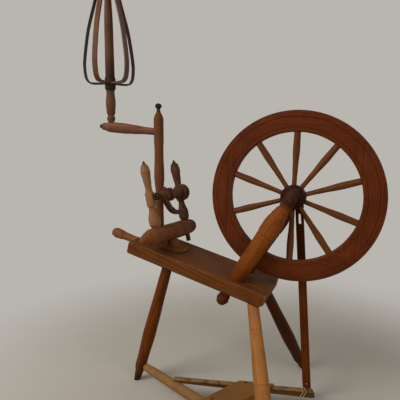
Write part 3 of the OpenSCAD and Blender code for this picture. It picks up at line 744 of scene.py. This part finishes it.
class Wood(Enum):
    """The woods of the wheel, each with its own colour and wear, by the pieces that they are for; some
    colours hold painted light and shade.
    """

    BENCH = WoodFinish(
        "Bench oak", "693a15", "3f1d05", "92653a", wear=0.75, rings=42, figure=0.5, rough=0.58, edge=10 * MM
    )
    MOA_POST = WoodFinish("Sliding plate", "70421b", "4c290f", "83592f", wear=0.4, rings=60, figure=0.4)
    FLYER_LEG = WoodFinish(
        "Dark leg", "6e3409", "452004", "7a4a22", wear=0.35, stains_and_shades=(StainAndShade("24160a", 0.14, 0.03, 0.85),)
    )
    NEAR_LEG = WoodFinish(
        "Pale leg", "a36b38", "7a481f", "b58a56", figure=0.5, stains_and_shades=(StainAndShade("4a2a16", 0.895, 0.905, 1.0),)
    )
    # The far leg's dark tones are painted shade over the same wood as the near leg.
    FAR_LEG = WoodFinish(
        "Shaded far leg", "4e2509", "321502", "5f391c", wear=0.3, stains_and_shades=(StainAndShade("3d2212", 0.895, 0.905, 1.0),)
    )
    # The first stretch is painted shade over the upright's lower part; the second is grease darkening its
    # head.
    NEAR_UPRIGHT = WoodFinish(
        "Orange upright", "854710", "5c2b07", "9a6530", wear=0.25, figure=0.45,
        stains_and_shades=(StainAndShade("562407", 0.5, 0.2, 0.75), StainAndShade("2a1609", 0.82, 0.89)),
    )
    # The far upright's dark tones are painted shade over the same wood as the near upright.
    FAR_UPRIGHT = WoodFinish("Shaded upright", "4f2309", "301304", "5f371b", wear=0.3)
    NEAR_KNOB = WoodFinish("Knob wood", "5c2709", "3c1704", "764a28", wear=0.35)
    FELLOE = WoodFinish(
        "Red-brown rim", "5e280b", "3b1703", "77401c",
        rings=60, wander=6.5, wear=0.25, figure=0.45, crease_shade_and_grime=0.1,
    )
    SPOKE = WoodFinish("Spoke wood", "6c3c15", "4a2610", "8a5c36", wear=0.3)
    HUB = WoodFinish("Greasy hub", "321204", "1d0a02", "3d1f10", wear=0.3)
    # The dark stretch on the footman's upper part is a painted shadow cast by the wheel.
    FOOTMAN = WoodFinish(
        "Footman wood", "6e3209", "481e05", "79461f", wear=0.35, stains_and_shades=(StainAndShade("220b03", 0.6, 0.75, 0.5),)
    )
    # The strong up-facing tone paints the arm's top faces paler: painted light from above, not settled
    # dirt.
    TREADLE_ARM = WoodFinish(
        "Treadle arm", "5e3e1f", "422a13", "977752", wear=0.5, dust_and_top_light=2.4, powder_and_top_light="8c6842"
    )
    TREADLE_BOARD = WoodFinish(
        "Foot-worn board", "8d5d2b", "623e18", "a07f50", wear=0.7, dust_and_top_light=0.05, rough=0.62
    )
    TREADLE_RAIL = WoodFinish("Rail wood", "956b3e", "6a4727", "aa8659", wear=0.45, dust_and_top_light=0.04)
    TENSION_SCREW = WoodFinish("Handle wood", "82502a", "583016", "98693f", wear=0.35, figure=0.5)
    MOA_BAR = WoodFinish(
        "Turned bar", "784827", "522c13", "8a6546", wear=0.4, figure=0.4,
        stains_and_shades=(StainAndShade("55301b", 0.3, 0.75, 0.5), StainAndShade("2b1c14", 0.91, 0.96)),
    )
    NEAR_MAIDEN = WoodFinish(
        "Pale maiden", "926745", "6a442b", "9f7954", wear=0.35, figure=0.5,
        stains_and_shades=(StainAndShade("231712", 0.93, 0.985),),
    )
    FAR_MAIDEN = WoodFinish(
        "Dark maiden", "603c26", "3c2417", "5c402d", wear=0.35, stains_and_shades=(StainAndShade("302825", 0.9, 0.97),)
    )
    FLYER_YOKE = WoodFinish("Flyer wood", "613b26", "3b2317", "5c3f2e", wear=0.4)
    DISTAFF_POST = WoodFinish(
        "Post wood", "744526", "502d17", "7d5330", wear=0.3, stains_and_shades=(StainAndShade("241a14", 0.94, 0.965),)
    )
    DISTAFF_ARM = WoodFinish(
        "Distaff arm", "82553e", "5a3829", "977053", wear=0.35, stains_and_shades=(StainAndShade("33221b", 0.9, 0.97),)
    )
    DISTAFF_BASE = WoodFinish("Distaff wood", "6d4a35", "462e20", "87664d", wear=0.35)
    DISTAFF_CORE = WoodFinish(
        "Distaff core", "6e482f", "462b1b", "7d5c42", wear=0.35, stains_and_shades=(StainAndShade("2b201b", 0.3, 0.02, 0.8),)
    )
    # The five ribs are one wood: their different tones are painted light and shade, lighter or darker by
    # how light falls on each rib.
    RIB_1 = WoodFinish("Red rib", "54301f", "361d14", "66442f", wear=0.35)
    RIB_2 = WoodFinish("Bent rib", "3f2a1f", "261811", "544033", wear=0.35)
    RIB_3 = WoodFinish("Shaded rib", "342a25", "201916", "4a3c33", wear=0.35)
    RIB_4 = WoodFinish("Lit brown rib", "6f452a", "4a2c1a", "7f5c40", wear=0.35)
    RIB_5 = WoodFinish("Grey rib", "6e5a50", "493a33", "83736a", wear=0.45)
    LEG_WEDGE = WoodFinish("Wedge wood", "75502c", "4f3218", "8b683f", wear=0.4, crease_shade_and_grime=0.6)
    # The far knob takes the far upright's painted-shade tones.
    FAR_KNOB = FAR_UPRIGHT
    WHORL = FLYER_YOKE
    BOBBIN = FLYER_YOKE
    DISTAFF_KNOB = RIB_2
    DISTAFF_CAP = RIB_2


class Dresser:
    """Gives every piece of the frame its finish."""

    runs: dict[Run, tuple[str, ...]] = {
        Run.AXLE: ("hub",),
        Run.FLYER: ("moa_bar", "flyer_yoke", "whorl", "bobbin"),
        Run.UP: (
            "near_knob",
            "far_knob",
            "moa_post",
            "distaff_post",
            "distaff_base",
            "distaff_knob",
            "distaff_core",
            "distaff_cap",
        ),
    }
    others: dict[str, Finish] = {
        "rail_pins": BLACK_IRON,
        "axle": BROWN_IRON,
        "crank_collar": BROWN_IRON,
        "flyer_spindle": BROWN_IRON,
        "near_leather": GREASED_LEATHER,
        "far_leather": GREASED_LEATHER,
    }

    def __init__(self, effects: Effects) -> None:
        """Keeps the shared shader groups."""
        self.effects = effects
        self.timber = Timber()

    def finish_of(self, name: str) -> tuple[Finish, Run] | None:
        """Looks up the finish of a piece, by its name or by its name without its number.

        Args:
            name: The piece's name.

        Returns:
            The finish and the run of its fibres, or None for a piece that another one stands for.
        """
        kind = name.rstrip("_0123456789").upper()
        wood = Wood.__members__.get(name.upper()) or Wood.__members__.get(kind)
        finish = self.others.get(name) if wood is None else wood.value
        run = next((run for run, names in self.runs.items() if name in names), Run.LONG)
        return None if finish is None else (finish, run)

    def dress(self) -> None:
        """Puts a material on every piece of the frame."""
        for name, node in sorted(frame["nodes"].items()):
            found = self.finish_of(name)
            if found is None:
                LOG.info("%s is shown by another piece", name)
                continue
            finish, run = found
            Workbench.paint(node, finish.material(self.effects, name, self.timber.lie(node, run)))
            LOG.info("%s has %s", name, finish.name)


class Workbench:
    """Small helpers for shaping a piece by hand."""

    smooth_below = math.radians(38)
    looks_that_way = 0.9

    @staticmethod
    def clear() -> None:
        """Lets go of everything that is selected."""
        bpy.ops.object.select_all(action="DESELECT")

    @staticmethod
    def paint(piece: Piece, material: Material) -> None:
        """Gives a piece one material in place of those that it has."""
        piece.data.materials.clear()
        piece.data.materials.append(material)

    @staticmethod
    def choose(pieces: list[Piece]) -> None:
        """Selects only these pieces, with the first one active.

        Args:
            pieces: The pieces.
        """
        Workbench.clear()
        for piece in pieces:
            piece.select_set(True)
        bpy.context.view_layer.objects.active = pieces[0]

    @staticmethod
    def edit(piece: Piece) -> None:
        """Opens one piece for shaping, with all of it selected.

        Args:
            piece: The piece.
        """
        Workbench.choose([piece])
        bpy.ops.object.mode_set(mode="EDIT")
        bpy.ops.mesh.select_all(action="SELECT")

    @staticmethod
    def close(piece: Piece) -> None:
        """Turns a shaped piece's faces outward and puts it down.

        Args:
            piece: The piece, open for shaping.
        """
        bpy.ops.mesh.select_all(action="SELECT")
        bpy.ops.mesh.normals_make_consistent(inside=False)
        bpy.ops.object.mode_set(mode="OBJECT")
        Workbench.choose([piece])
        bpy.ops.object.shade_smooth_by_angle(angle=Workbench.smooth_below)

    @staticmethod
    def pick_faces(piece: Piece, toward: Vector, least: float = looks_that_way) -> None:
        """Selects the faces of an open piece that look one way.

        Args:
            piece: The piece, open for shaping.
            toward: The way.
            least: How closely a face has to look that way.
        """
        bpy.ops.mesh.select_all(action="DESELECT")
        bpy.ops.object.mode_set(mode="OBJECT")
        for face in piece.data.polygons:
            face.select = face.normal.dot(toward) > least
        bpy.ops.object.mode_set(mode="EDIT")

    @staticmethod
    def pull(step: Vector) -> None:
        """Draws the selected faces out by a step."""
        bpy.ops.mesh.extrude_region_move(TRANSFORM_OT_translate={"value": step})

    @staticmethod
    def copies(piece: Piece, places: list[Matrix]) -> Piece:
        """Puts a copy of a piece at each place and joins them.

        Args:
            piece: The piece, made at the origin.
            places: Where the copies go.

        Returns:
            The joined copies, with their places in the mesh.
        """
        made = []
        for place in places:
            copy = piece.copy()
            copy.data = piece.data.copy()
            copy.data.transform(place)
            bpy.context.scene.collection.objects.link(copy)
            made.append(copy)
        bpy.data.objects.remove(piece)
        Workbench.choose(made)
        bpy.ops.object.join()
        return made[0]


@dataclass
class TreadleFrame:
    """Where the treadle lies: x along its rail, z up through its board."""

    rail_end: tuple[float, float, float] = (19.11 * MM, -1.385 * MM, 62.5 * MM)
    rail_turn: float = math.radians(-22.092)
    tilt: float = math.radians(6.5)

    def matrix(self) -> Matrix:
        """Gives the treadle's place."""
        turned = Matrix.Rotation(self.rail_turn, 4, "Z") @ Matrix.Rotation(-self.tilt, 4, "X")
        return Matrix.Translation(self.rail_end) @ turned


@dataclass
class TreadleNails:
    """Hand-forged nails that hold the treadle board, with domed and hammered heads.

    The stands are in mm in the treadle's own frame. Insets are shares of the head's radius, and steps
    are shares of the dome's height.
    """

    effects: Effects
    stands: tuple[tuple[float, float], ...] = ((349, -2), (395, -2), (351, 158), (391, 196))
    top: float = 32.0 * MM
    head: float = 4.4 * MM
    sides: int = 11
    rim: float = 0.9 * MM
    dome: float = 1.1 * MM
    insets: tuple[float, float] = (0.3, 0.32)
    steps: tuple[float, float] = (0.65, 0.35)
    underside: float = 0.8
    shank_inset: float = 0.6
    sunk: float = 3.0 * MM
    uneven: float = 0.22 * MM
    seed: int = 4
    twirl: float = 1.3

    def nail(self) -> Piece:
        """Shapes one nail, with the underside of its head at the origin.

        Returns:
            The nail.
        """
        Workbench.clear()
        bpy.ops.mesh.primitive_cylinder_add(
            vertices=self.sides, radius=self.head, depth=self.rim, location=(0, 0, self.rim / 2)
        )
        made = bpy.context.object
        bpy.ops.object.transform_apply(location=True, rotation=True, scale=True)
        Workbench.edit(made)
        Workbench.pick_faces(made, UP)
        for inset, step in zip(self.insets, self.steps):
            bpy.ops.mesh.inset(thickness=inset * self.head)
            bpy.ops.transform.translate(value=(0, 0, step * self.dome))
        bpy.ops.mesh.select_all(action="SELECT")
        bpy.ops.transform.vertex_random(offset=self.uneven, seed=self.seed)
        Workbench.pick_faces(made, -UP, self.underside)
        bpy.ops.mesh.inset(thickness=self.shank_inset * self.head)
        Workbench.pull(-self.sunk * UP)
        Workbench.close(made)
        return made

    def build(self) -> None:
        """Drives the nails into the board, each one turned its own way."""
        lie = TreadleFrame().matrix()
        places = []
        for x, y in self.stands:
            turned = Matrix.Rotation(self.twirl * x + y, 4, "Z")
            places.append(lie @ Matrix.Translation((x * MM, y * MM, self.top)) @ turned)
        made = Workbench.copies(self.nail(), places)
        made.name = "treadle_nail_heads"
        Workbench.paint(made, BLACK_IRON.material(self.effects, "nails"))
        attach(made, "treadle")
        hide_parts("treadle_nails")
        LOG.info("%d nails in the treadle board", len(places))


@dataclass
class FlyerHooks:
    """Bent wire hooks along the flyer's arm, which lead the yarn on to the bobbin.

    The stands are in mm: along the spindle, and down from it.
    """

    effects: Effects
    yaw: float = math.radians(7.5)
    lean: float = math.radians(12.5)
    stands: tuple[tuple[float, float], ...] = ((-8.519, 53.370), (18, 65), (45, 68))
    wire: float = 0.95 * MM
    sides: int = 12
    rooted: float = 4.0 * MM
    reach: float = 9.4 * MM
    bend: float = 3.2 * MM
    turn: float = math.radians(150)
    turn_steps: int = 12
    tip: float = 1.4 * MM
    blunt: float = 0.6
    point: float = 0.55

    def matrix(self) -> Matrix:
        """Gives the flyer's place: z along its spindle, y down, x toward the wheel.

        Returns:
            The place.
        """
        spin = joint("flyer_spin")
        level = math.cos(self.lean)
        across = Vector((level * math.cos(self.yaw), -level * math.sin(self.yaw), math.sin(self.lean)))
        along = Vector(spin["axis"]).normalized()
        down = along.cross(across)
        lie = Matrix((across, down, along)).transposed().to_4x4()
        return Matrix.Translation(Vector(spin["pos_m"])) @ lie

    def hook(self) -> Piece:
        """Bends one hook, with its root on the arm's middle line and its wire along x.

        Returns:
            The hook.
        """
        Workbench.clear()
        bpy.ops.mesh.primitive_circle_add(
            vertices=self.sides,
            radius=self.wire,
            fill_type="NGON",
            location=(self.rooted, 0, 0),
            rotation=(0, math.pi / 2, 0),
        )
        made = bpy.context.object
        bpy.ops.object.transform_apply(location=True, rotation=True, scale=True)
        Workbench.edit(made)
        Workbench.pull(Vector((self.reach - self.rooted, 0, 0)))
        bpy.ops.mesh.spin(
            steps=self.turn_steps, angle=self.turn, center=(self.reach, -self.bend, 0), axis=(0, 0, 1)
        )
        ahead = Vector((math.cos(self.turn), -math.sin(self.turn), 0))
        Workbench.pull(self.tip * ahead)
        Workbench.pull(self.blunt * self.wire * ahead)
        bpy.ops.transform.resize(value=(self.point, self.point, self.point))
        Workbench.close(made)
        return made

    def build(self) -> None:
        """Sets the hooks along the arm."""
        lie = self.matrix()
        places = [lie @ Matrix.Translation((0, y * MM, z * MM)) for z, y in self.stands]
        made = Workbench.copies(self.hook(), places)
        made.name = "flyer_wire_hooks"
        Workbench.paint(made, BLACK_IRON.material(self.effects, "hooks"))
        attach(made, "flyer")
        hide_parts("flyer_hooks")
        LOG.info("%d hooks on the flyer", len(places))


@dataclass
class TenonWedges:
    """Thin wedges driven into the leg tenons, flush with the bench between the uprights.

    The stands are in mm. Each wedge has its own turn about its tenon.
    """

    effects: Effects
    stands: tuple[tuple[float, float, float], ...] = ((422.15, -6.93, 422.37), (422.15, 76.93, 422.37))
    turns: tuple[float, float] = (math.radians(6), math.radians(-9))
    slope: float = math.radians(14.8)
    width: float = 20.0 * MM
    thick: float = 2.6 * MM
    depth: float = 7.0 * MM
    proud: float = 0.35 * MM
    flare: float = 1.35
    crushed: float = 0.3 * MM
    rounding: int = 2
    cuts: int = 2
    uneven: float = 0.12 * MM
    seed: int = 9

    def wedge(self) -> Piece:
        """Shapes one wedge, with its driven end just above the origin.

        Returns:
            The wedge.
        """
        Workbench.clear()
        bpy.ops.mesh.primitive_cube_add(size=1, location=(0, 0, self.proud - self.depth / 2))
        made = bpy.context.object
        made.scale = (self.thick, self.width, self.depth)
        bpy.ops.object.transform_apply(location=True, rotation=True, scale=True)
        Workbench.edit(made)
        Workbench.pick_faces(made, UP)
        bpy.ops.transform.resize(value=(self.flare, 1, 1))
        bpy.ops.mesh.bevel(offset=self.crushed, segments=self.rounding, affect="EDGES")
        bpy.ops.mesh.select_all(action="SELECT")
        bpy.ops.mesh.subdivide(number_cuts=self.cuts)
        bpy.ops.transform.vertex_random(offset=self.uneven, seed=self.seed)
        Workbench.close(made)
        return made

    def build(self) -> None:
        """Drives the wedges."""
        tilt = Matrix.Rotation(self.slope, 4, "Y")
        places = [
            Matrix.Translation(Vector(stand) * MM) @ tilt @ Matrix.Rotation(turn, 4, "Z")
            for stand, turn in zip(self.stands, self.turns)
        ]
        made = Workbench.copies(self.wedge(), places)
        made.name = "leg_tenon_wedges"
        lie = Timber().lie(made, Run.UP)
        Workbench.paint(made, Wood.LEG_WEDGE.value.material(self.effects, "wedges", lie))
        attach(made, "stand")
        LOG.info("%d wedges in the leg tenons", len(places))


@dataclass
class StringTie:
    """The twine wound round the free end of the treadle arm, and its knot.

    A turn bulges between its corners, which lie at the corner share of its half sizes.
    """

    corner = 0.917

    effects: Effects
    treadle: TreadleFrame = field(default_factory=TreadleFrame)
    arm_start: tuple[float, float, float] = (187 * MM, 12 * MM, 0)
    arm_end: tuple[float, float, float] = (513.21 * MM, 312.01 * MM, 0)
    first: float = 396.2 * MM
    pitch: float = 9.0 * MM
    turns: int = 2
    slant: float = 0.55
    half_width: float = 13.3 * MM / corner
    half_height: float = 10.4 * MM / corner
    middle: float = 14.5 * MM
    squareness: float = 0.25
    strand: float = 0.68 * MM
    roundness: int = 2
    lay: float = 0.62 * MM
    twist: float = 5.2 * MM
    steps: int = 110
    fine_steps: int = 400
    knot_off: float = 3.1 * MM
    knot_size: tuple[float, float, float] = (0.85 * MM, 0.42 * MM, 0.75 * MM)
    knot_span: float = 2.2
    knot_steps: int = 220
    join_steps: int = 40

    def frame_matrix(self) -> Matrix:
        """Gives the place of the treadle arm, with x along it and z up through it.

        Returns:
            The place.
        """
        x, y, _ = Vector(self.arm_end) - Vector(self.arm_start)
        turned = Matrix.Rotation(math.atan2(y, x), 4, "Z")
        return self.treadle.matrix() @ Matrix.Translation(self.arm_start) @ turned

    def bow(self, value: float) -> float:
        """Flattens a turn against the arm's square sides."""
        return math.copysign(abs(value) ** self.squareness, value)

    def centre(self, turn: float) -> Vector:
        """Gives the middle of the twine after a number of turns.

        Args:
            turn: The number of turns.

        Returns:
            The middle, in the arm's own frame.
        """
        angle = math.tau * turn
        rise = self.half_height * self.bow(math.sin(angle))
        along = self.first + self.pitch * turn + self.slant * rise
        return Vector((along, self.half_width * self.bow(math.cos(angle)), self.middle + rise))

    def knot(self) -> list[Vector]:
        """Gives the overhand knot that ties the two ends together, on the arm's far side.

        Returns:
            Points along the knot, in the arm's own frame.
        """
        middle = self.centre(self.turns / 2) + Vector((0, self.knot_off, 0))
        long, deep, high = self.knot_size
        points = []
        for t in np.linspace(self.knot_span, -self.knot_span, self.knot_steps + 1):
            trefoil = (long * (t**3 - 3 * t), deep * (t**5 / 5 - 2 * t), high * (t**4 - 4 * t * t))
            points.append(middle + Vector(trefoil))
        return points

    def route(self) -> list[Vector]:
        """Gives evenly spaced points along the winding and its knot.

        Returns:
            The points, in the arm's own frame.
        """
        fine = [self.centre(i / self.fine_steps) for i in range(self.fine_steps * self.turns + 1)]
        start, end = fine[0], fine[-1]
        tied = self.knot()
        fine += [end.lerp(tied[0], k / self.join_steps) for k in range(1, self.join_steps)]
        fine += tied
        fine += [tied[-1].lerp(start, k / self.join_steps) for k in range(1, self.join_steps + 1)]
        runs = [0.0]
        for a, b in zip(fine, fine[1:]):
            runs.append(runs[-1] + (b - a).length)
        marks = np.linspace(0, runs[-1], self.steps * self.turns + 1)
        columns = [np.interp(marks, runs, [p[k] for p in fine]) for k in range(3)]
        return [Vector(p) for p in zip(*columns)]

    def strand_curve(self, name: str, phase: float) -> Piece:
        """Makes one strand of the twine as a tube.

        Args:
            name: The strand's name.
            phase: Where round the twine the strand starts.

        Returns:
            The strand as a mesh.
        """
        points = self.route()
        place = self.frame_matrix()
        curve = bpy.data.curves.new(name, "CURVE")
        curve.dimensions = "3D"
        curve.bevel_depth = self.strand
        curve.bevel_resolution = self.roundness
        curve.use_fill_caps = True
        spline = curve.splines.new("POLY")
        spline.points.add(len(points) - 1)
        run = 0.0
        out = Vector((0, 1, 0))
        for i, point in enumerate(points):
            ahead = (points[min(i + 1, len(points) - 1)] - points[max(i - 1, 0)]).normalized()
            out = (out - ahead * out.dot(ahead)).normalized()
            across = ahead.cross(out)
            angle = phase + math.tau * run / self.twist
            offset = self.lay * (math.cos(angle) * out + math.sin(angle) * across)
            spline.points[i].co = (*(place @ (point + offset)), 1)
            if i + 1 < len(points):
                run += (points[i + 1] - point).length
        made = bpy.data.objects.new(name, curve)
        bpy.context.scene.collection.objects.link(made)
        Workbench.choose([made])
        bpy.ops.object.convert(target="MESH")
        return made

    def build(self) -> None:
        """Makes the two-ply winding and hangs it on the treadle."""
        first = self.strand_curve("twine_winding", 0.0)
        second = self.strand_curve("twine_second_ply", math.pi)
        Workbench.choose([first, second])
        bpy.ops.object.join()
        bpy.ops.object.shade_smooth()
        Workbench.paint(first, TWINE.material(self.effects, "winding"))
        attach(first, "treadle")
        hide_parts("footman_tie")
        LOG.info("twine wound on the treadle arm")


@dataclass(frozen=True)
class Lamp:
    """A soft square lamp: where it hangs in metres, the length of its side and its power in watts."""

    name: str
    place: tuple[float, float, float]
    size: float
    watts: float

    def hang(self, aim: Vector) -> None:
        """Hangs the lamp, pointed at a place.

        Args:
            aim: The place.
        """
        data = bpy.data.lights.new(self.name, "AREA")
        data.size = self.size
        data.energy = self.watts
        made = bpy.data.objects.new(self.name, data)
        bpy.context.scene.collection.objects.link(made)
        made.location = self.place
        made.rotation_euler = (aim - Vector(self.place)).to_track_quat("-Z", "Y").to_euler()


@dataclass
class Studio:
    """Floor, light and camera."""

    eye: tuple[float, float, float] = (728.7 * MM, -1139.8 * MM, 829.6 * MM)
    yaw: float = math.radians(22.81)
    dip: float = math.radians(7.28)
    lens: float = 35.11
    sensor: float = 36.0
    middle: Vector = field(default_factory=lambda: Vector((0.4, 0.05, 0.6)))
    backdrop: str = "b9b6b0"
    sky_tone: str = "f4f1ec"
    sky_strength: float = 0.42
    floor_size: float = 40.0
    floor_tone: str = "b4ada2"
    floor_cloud: str = "a69f94"
    floor_clouded: float = 0.3
    floor_rough: float = 0.95
    floor_gloss: float = 0.1
    fade: tuple[float, float] = (0.55, 1.5)
    lamps: tuple[Lamp, ...] = (
        Lamp("key", (-1.6, -2.4, 2.7), 1.8, 95),
        Lamp("fill", (2.6, -1.6, 1.6), 2.0, 22),
    )

    def background_rays(self, graph: Graph) -> Socket:
        """Tells the rays that see the background from those that carry its light.

        Args:
            graph: The graph that asks.

        Returns:
            The socket, which is 1 for a ray that sees the background.
        """
        rays = graph.add("ShaderNodeLightPath").outputs
        direct = graph.math("MAXIMUM", rays["Is Camera Ray"], rays["Is Glossy Ray"])
        return graph.math("MAXIMUM", direct, rays["Is Transmission Ray"])

    def blend(self, graph: Graph, share: object, first: bpy.types.Node, second: bpy.types.Node) -> None:
        """Shows two shaders in one surface or sky.

        Args:
            graph: The graph, which has an output node.
            share: How much of the second shows.
            first: The first shader.
            second: The second shader.
        """
        output = next(n for n in graph.tree.nodes if n.type.startswith("OUTPUT"))
        both = graph.add("ShaderNodeMixShader")
        for socket, value in zip(both.inputs, (share, first.outputs[0], second.outputs[0])):
            graph.put(socket, value)
        graph.put(output.inputs["Surface"], both.outputs[0])

    def floor(self) -> None:
        """Lays the pale floor, which turns into the backdrop away from the wheel."""
        Workbench.clear()
        bpy.ops.mesh.primitive_plane_add(size=self.floor_size, location=(0, 0, 0))
        ground = bpy.context.object
        ground.name = "floor"
        made = bpy.data.materials.new("Pale floor")
        made.use_nodes = True
        graph = Graph(made.node_tree)
        shader = made.node_tree.nodes["Principled BSDF"]
        place = graph.add("ShaderNodeTexCoord").outputs["Object"]
        cloud = graph.ease(graph.noise(place, Pattern.FLOOR), Band.FLOOR, self.floor_clouded)
        looks = {
            "Base Color": graph.mix(cloud, tone(self.floor_tone), tone(self.floor_cloud)),
            "Roughness": self.floor_rough,
            "Specular IOR Level": self.floor_gloss,
        }
        graph.fill(shader, looks)
        away = graph.add("ShaderNodeVectorMath", operation="DISTANCE")
        graph.put(away.inputs[0], place)
        graph.put(away.inputs[1], (self.middle.x, self.middle.y, 0))
        far = graph.ease(away.outputs["Value"], self.fade)
        seen = graph.add("ShaderNodeEmission")
        graph.put(seen.inputs["Color"], tone(self.backdrop))
        share = graph.math("MULTIPLY", far, self.background_rays(graph))
        self.blend(graph, share, shader, seen)
        ground.data.materials.append(made)

    def world(self) -> None:
        """Sets the soft light from all round, and the pale backdrop that the camera sees."""
        sky = bpy.data.worlds.new("Studio")
        bpy.context.scene.world = sky
        sky.use_nodes = True
        graph = Graph(sky.node_tree)
        light = next(n for n in sky.node_tree.nodes if n.type == "BACKGROUND")
        graph.fill(light, {"Color": tone(self.sky_tone), "Strength": self.sky_strength})
        seen = graph.add("ShaderNodeBackground")
        graph.put(seen.inputs["Color"], tone(self.backdrop))
        self.blend(graph, self.background_rays(graph), light, seen)

    def camera(self) -> None:
        """Sets the camera at the viewing angle."""
        data = bpy.data.cameras.new("camera")
        data.lens = self.lens
        data.sensor_width = self.sensor
        made = bpy.data.objects.new("camera", data)
        bpy.context.scene.collection.objects.link(made)
        made.location = self.eye
        made.rotation_euler = (math.pi / 2 - self.dip, 0, self.yaw)
        bpy.context.scene.camera = made

    def build(self) -> None:
        """Sets up floor, light and camera."""
        self.camera()
        self.floor()
        self.world()
        for lamp in self.lamps:
            lamp.hang(self.middle)
        bpy.context.scene.view_settings.view_transform = "Standard"
        LOG.info("floor, light and camera set")


def write_sizes() -> None:
    """Updates the view layer, so that every piece's place is current."""
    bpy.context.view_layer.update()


def main() -> None:
    """Builds the looks in order."""
    logging.basicConfig(level=logging.INFO, format="%(name)s: %(message)s")
    effects = Effects()
    Studio().build()
    Dresser(effects).dress()
    TreadleNails(effects).build()
    FlyerHooks(effects).build()
    TenonWedges(effects).build()
    StringTie(effects).build()
    write_sizes()


if __name__ == "__main__":
    main()
